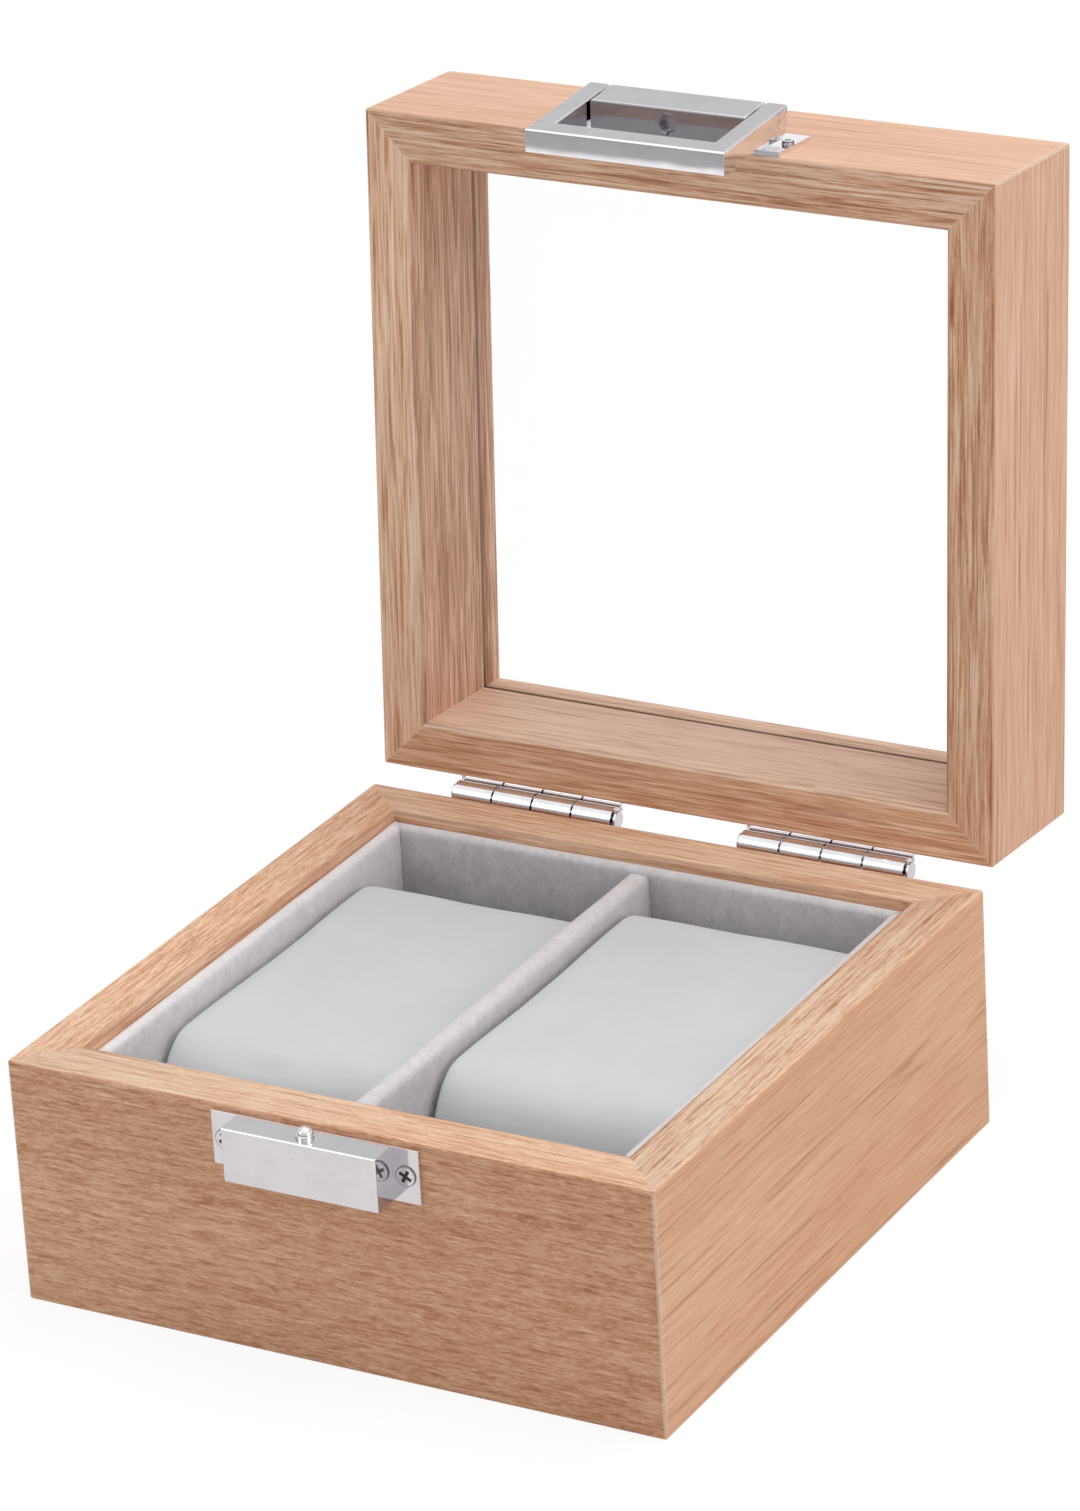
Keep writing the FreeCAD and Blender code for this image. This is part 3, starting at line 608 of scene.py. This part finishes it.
def watchPillow(side):
    nodes = ["pillow_" + side + "_cover", "pillow_" + side + "_core"]
    low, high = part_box(nodes[0])
    draw = pillowLook["draw"]
    inLow = low + Vector((draw, draw, 0))
    inHigh = high - Vector((draw, draw, draw + pillowLook["crown"]))
    nose = (inHigh.z - inLow.z) / 2 - tiny
    squeeze = nose / pillowLook["noseReach"]
    middle = (inLow + inHigh) / 2
    flatHalf = (inHigh.y - inLow.y) / 2 * squeeze
    bm = bmesh.new()
    block(bm, Vector((inLow.x, middle.y - flatHalf, inLow.z)),
          Vector((inHigh.x, middle.y + flatHalf, inHigh.z)))
    noses = [edge for edge in bm.edges if abs(edge.verts[0].co.x - edge.verts[1].co.x) > tiny]
    soften(bm, noses, nose * pillowLook["noseShare"], pillowLook["noseSteps"])
    stretch = (Matrix.Translation(middle) @ Matrix.Diagonal((1, 1 / squeeze, 1, 1))
               @ Matrix.Translation(-middle))
    bmesh.ops.transform(bm, matrix=stretch, verts=bm.verts)
    outline = [edge for edge in bm.edges if abs(edge.verts[0].co.x - edge.verts[1].co.x) < tiny
               and edge.calc_face_angle() > 1]
    soften(bm, outline, pillowLook["edge"], pillowLook["edgeSteps"])
    bmesh.ops.triangulate(bm, faces=[face for face in bm.faces if len(face.verts) > 4])
    piece = pieceFrom(bm, side + "_pillow", suedeGrey, nodes, hard=False)
    piece.data.remesh_voxel_size = pillowLook["voxel"]
    with bpy.context.temp_override(active_object=piece, object=piece, selected_objects=[piece]):
        bpy.ops.object.voxel_remesh()
    piece.data.materials.clear()
    piece.data.materials.append(suedeGrey)
    piece.data.shade_smooth()
    halfWidth = (inHigh.x - inLow.x) / 2
    for vertex in piece.data.vertices:
        across = (vertex.co.x - middle.x) / halfWidth
        if vertex.co.z > middle.z:
            vertex.co.z += pillowLook["crown"] * max(0, 1 - across * across)
    puff(piece)
    for vertex in piece.data.vertices:
        vertex.co.z = max(vertex.co.z, low.z)
        vertex.co.x = min(max(vertex.co.x, low.x), high.x)
    # painted light: a point is paler the more it faces the front, where the noses are in shade
    lifted = piece.data.attributes.new("lifted", "FLOAT", "POINT")
    for vertex, value in zip(piece.data.vertices, lifted.data):
        value.value = pillowLook["lifted"] * max(0, -vertex.normal.y)
    fine = piece.modifiers.new("fine", "SUBSURF")
    fine.levels = 1
    fine.render_levels = 1


for side in ("left", "right"):
    watchPillow(side)
print("pillows made")

# chrome hardware: the solids with their sharp edges eased, so that they catch the light
chromeBright = chrome("polished chrome")
chromeCrossed = chrome("chrome screw heads", crossed=True)
flatTurn = math.radians(0.5)
sharpTurn = math.radians(35)
easedSteps = 2
# how far, in millimetres, the edges of each piece are eased
hardwareLook = {
    "catch_plate": 0.22, "catch_block": 0.16, "hasp_plate": 0.22, "hasp_block": 0.25, "hasp_frame": 0.25,
    "hasp_socket": 0.1,
    "hinge_left_base_leaf": 0.26, "hinge_right_base_leaf": 0.26, "hinge_left_lid_leaf": 0.26,
    "hinge_right_lid_leaf": 0.26, "hinge_left_pin": 0.2, "hinge_right_pin": 0.2,
}


def solidCopy(node):
    bm = bmesh.new()
    bm.from_mesh(frame["nodes"][node].data)
    bmesh.ops.remove_doubles(bm, verts=bm.verts, dist=tiny)
    bmesh.ops.dissolve_limit(bm, angle_limit=flatTurn, verts=bm.verts, edges=bm.edges)
    return bm


# the eased edges of the hasp that face the front get a painted highlight, and its lip swells a little
claspLook = {"edgeWidth": 0.65 * mm, "front": -0.3, "facing": 0.5, "lip": 0.3 * mm}
# how much painted shade and dark reflection the faces get that face the front or the right of these pieces
paintedShadeLook = {"hasp_block": (0.8, 0.0), "hasp_socket": (0.9, 0.9), "catch_block": (0.0, 0.45)}


# narrow eased faces of the hasp that face the front get a painted highlight
def paintEdgeHighlights(bm):
    highlighted = bm.faces.layers.float.new("edge")
    for face in bm.faces:
        width = face.calc_area() / max(edge.calc_length() for edge in face.edges)
        face[highlighted] = 1.0 if width < claspLook["edgeWidth"] and face.normal.y < claspLook["front"] else 0.0


def paintShadedFaces(bm, front, right):
    dulled = bm.faces.layers.float.new("dulled")
    for face in bm.faces:
        if face.normal.y < -claspLook["facing"]:
            face[dulled] = front
        elif face.normal.x > claspLook["facing"]:
            face[dulled] = right


def swellLip(bm):
    swell = bm.verts.layers.float.new("swell")
    places = [openTurn.inverted() @ vertex.co for vertex in bm.verts]
    end = min(place.z for place in places)
    offs = [-place.y for place in places if place.z < end + claspLook["lip"]]
    low, high = min(offs), max(offs)
    for vertex, place in zip(bm.verts, places):
        vertex[swell] = min((-place.y - low) / (high - low), 1)


for node, width in hardwareLook.items():
    bm = solidCopy(node)
    sharp = [edge for edge in bm.edges if edge.is_manifold and edge.calc_face_angle() > sharpTurn]
    soften(bm, sharp, width * mm, easedSteps)
    if node.startswith("hasp"):
        paintEdgeHighlights(bm)
    if node in paintedShadeLook:
        paintShadedFaces(bm, *paintedShadeLook[node])
    if bodyOf[node] == "hasp":
        swellLip(bm)
    pieceFrom(bm, node + "_chrome", chromeBright, [node])

# screws: a round head on a shank; out is the side that the heads face with the lid closed,
# and turn is how their crosses stand
screwLook = {
    "catch_screws": {"out": (0, -1, 0), "turn": 28.0},
    "hasp_screws": {"out": (0, -1, 0), "turn": 10.0},
    "hinge_base_screws": {"out": (0, 1, 0), "turn": 35.0},
    "hinge_lid_screws": {"out": (0, 1, 0), "turn": 50.0},
}
screwShape = {"sides": 32, "shankShare": 0.5, "rimShadowShare": 0.95, "round": 0.12 * mm, "steps": 2}


# the corners of each separate solid in a mesh, from its last corner to its first
def islands(bm):
    seen = set()
    for first in reversed(bm.verts[:]):
        if first in seen:
            continue
        seen.add(first)
        group = [first]
        for vertex in group:
            for edge in vertex.link_edges:
                other = edge.other_vert(vertex)
                if other not in seen:
                    seen.add(other)
                    group.append(other)
        yield [vertex.co.copy() for vertex in group]


def crossScrews(node, out, turn):
    out = Vector(out)
    if bodyOf[node] == "lid":
        out = openTurn.to_3x3() @ out
    facing = Matrix((Vector((1, 0, 0)), out.cross(Vector((1, 0, 0))), out)).transposed()
    source = solidCopy(node)
    bm = bmesh.new()
    head = bm.verts.layers.float_vector.new("head")
    for count, points in enumerate(islands(source)):
        local = [facing.transposed() @ point for point in points]
        low, high = [Vector([pick(point[axis] for point in local) for axis in range(3)])
                     for pick in (min, max)]
        middle = (low + high) / 2
        radius = (high.x - low.x) / 2
        rim = radius * screwShape["rimShadowShare"]
        seat = min(point.z for point in local if (point - middle).xy.length > rim)
        for size, bottom, top in ((radius, seat, high.z), (radius * screwShape["shankShare"], low.z, seat)):
            place = Matrix.Translation((middle.x, middle.y, (bottom + top) / 2))
            made = bmesh.ops.create_cone(bm, cap_ends=True, segments=screwShape["sides"], radius1=size,
                                         radius2=size, depth=top - bottom, matrix=place)["verts"]
            if size == radius:
                edges = [edge for edge in bm.edges
                         if all(end in made and end.co.z > top - tiny for end in edge.verts)]
                soften(bm, edges, screwShape["round"], screwShape["steps"])
        stand = Matrix.Rotation(math.radians(turn * (count + 1)), 3, "Z")
        for vertex in bm.verts:
            away = vertex.co - middle
            if away.xy.length < radius + tiny:
                vertex[head] = stand @ Vector((away.x / radius, away.y / radius, 0))
    source.free()
    bmesh.ops.transform(bm, matrix=facing.to_4x4(), verts=bm.verts)
    pieceFrom(bm, node + "_chrome", chromeCrossed, [node])


for node, look in screwLook.items():
    crossScrews(node, **look)
print("hardware made")

# the remaining solids keep their shape and get their finish
finishes = {
    "chrome": chromeBright,
    "spring_steel": chromeBright,
    "clear_glass": clearGlass("clear glass"),
    "felt": felt("dark felt"),
    "bottom_board": fibreboard("fibreboard"),
    "velvet": velvetGrey,
}
for part in frame["record"]["subparts"]:
    if part["node"] not in dressed:
        data = frame["nodes"][part["node"]].data
        data.materials.clear()
        data.materials.append(finishes[part["material_slot"]])
print("finishes set")

# plain pale floor, white behind, soft light from above and from both sides
stageLook = {"floorSize": 6.0, "floorGrey": 0.8, "shadowShare": 0.16, "glow": 0.875, "worldLevel": 0.54,
             "ceiling": 0.62, "room": 0.30, "nearFloorShadow": (0.725, 0.705, 0.69), "farFloor": 0.36,
             "sheetEnds": (0.18, 0.34, 0.52, 0.64), "frontEnds": (0.38, 0.50), "bandEnds": (0.12, 0.30),
             "skyEnds": (0.25, 0.36, 0.52, 0.75)}


def seenDirectly(start):
    direct, glossy, through = [start.add("LightPath", None, None, "Is " + name + " Ray")
                               for name in ("Camera", "Glossy", "Transmission")]
    return direct + glossy + through


def paleFloor():
    bm = bmesh.new()
    bmesh.ops.create_grid(bm, x_segments=8, y_segments=8, size=stageLook["floorSize"])
    mesh = bpy.data.meshes.new("floor")
    bm.to_mesh(mesh)
    bm.free()
    floor = bpy.data.objects.new("floor", mesh)
    scene.collection.objects.link(floor)
    material, start = newMaterial("pale floor")
    grey = start.add("BsdfDiffuse", None, {"Color": colour(*(stageLook["floorGrey"],) * 3)})
    shade = start.add("BsdfDiffuse", None, {"Color": colour(*(stageLook["shadowShare"],) * 3)})
    place = start.add("TexCoord", None, None, "Object")
    distance = start.add("VectorMath", {"operation": "LENGTH"}, {0: place}, "Value")
    # as the metal mirrors it, the floor is darker close to the case as a painted shadow, bright further out and
    # dim far away
    levels = (stageLook["nearFloorShadow"], 1.0, 1.0, stageLook["farFloor"])
    sheet = distance.ramp(*zip(stageLook["sheetEnds"], levels))
    tint = start.mix(start.add("LightPath", None, None, "Is Glossy Ray"), colour(1, 1, 1), sheet)
    glow = start.add("Emission", None, {"Color": tint, "Strength": stageLook["glow"]})
    shown = start.add("AddShader", None, {0: shade, 1: glow})
    both = start.add("MixShader", None, {0: seenDirectly(start), 1: grey, 2: shown})
    start.add("OutputMaterial", None, {"Surface": both})
    mesh.materials.append(material)


# white behind; only the metal and glass mirror a greyer stretch above it and a dim room in front
def studioWorld():
    world = bpy.data.worlds.new("studio")
    scene.world = world
    world.use_nodes = True
    world.node_tree.nodes.clear()
    start = Wire(world.node_tree)
    toward = start.add("TexCoord", None, None, "Generated")
    ahead, upward = [start.add("SeparateXYZ", None, {0: toward}, axis) for axis in "YZ"]
    front = (ahead * 0.5 + 0.5).ramp(*zip(stageLook["frontEnds"], (1.0, 0.0)))
    band = upward.ramp(*zip(stageLook["bandEnds"], (1.0, 0.0)))
    levels = (1.0, stageLook["ceiling"], stageLook["ceiling"], 1.0)
    sky = upward.ramp(*zip(stageLook["skyEnds"], levels))
    mirrored = sky * (1 - front * band * (1 - stageLook["room"]))
    tint = start.mix(start.add("LightPath", None, None, "Is Glossy Ray"), colour(1, 1, 1), mirrored)
    dim = start.add("Background", None, {"Strength": stageLook["worldLevel"]})
    white = start.add("Background", None, {"Color": tint, "Strength": 1.0})
    both = start.add("MixShader", None, {0: seenDirectly(start), 1: dim, 2: white})
    start.add("OutputWorld", None, {"Surface": both})


lampAim = Vector((0, 0, 0.06))
lampLook = {
    "top": {"place": (0.3, 0.3, 1.25), "size": 1.2, "power": 9.5},
    "right": {"place": (1.3, -0.2, 0.55), "size": 0.9, "power": 3.2},
    "left": {"place": (-0.8, -0.95, 0.85), "size": 0.8, "power": 2.2},
}


def softLamp(name, place, size, power):
    data = bpy.data.lights.new(name, "AREA")
    data.shape = "DISK"
    data.size = size
    data.energy = power
    lamp = bpy.data.objects.new(name, data)
    scene.collection.objects.link(lamp)
    lamp.location = place
    lamp.rotation_mode = "QUATERNION"
    lamp.rotation_quaternion = (lampAim - lamp.location).to_track_quat("-Z", "Y")


paleFloor()
studioWorld()
for name, look in lampLook.items():
    softLamp(name, **look)

cameraLook = {"place": (518.01, -877.37, 531.21), "aim": (-1.91, 20.0, 78.82), "roll": -3.34, "lens": 154.90}
cameraData = bpy.data.cameras.new("camera")
cameraData.lens = cameraLook["lens"]
camera = bpy.data.objects.new("camera", cameraData)
scene.collection.objects.link(camera)
camera.location = Vector(cameraLook["place"]) * mm
aim = Vector(cameraLook["aim"]) * mm - camera.location
camera.rotation_mode = "QUATERNION"
camera.rotation_quaternion = (aim.to_track_quat("-Z", "Y")
                              @ Quaternion((0, 0, 1), math.radians(cameraLook["roll"])))
scene.camera = camera
scene.view_settings.view_transform = "Standard"
print("stage, lamps and camera set")
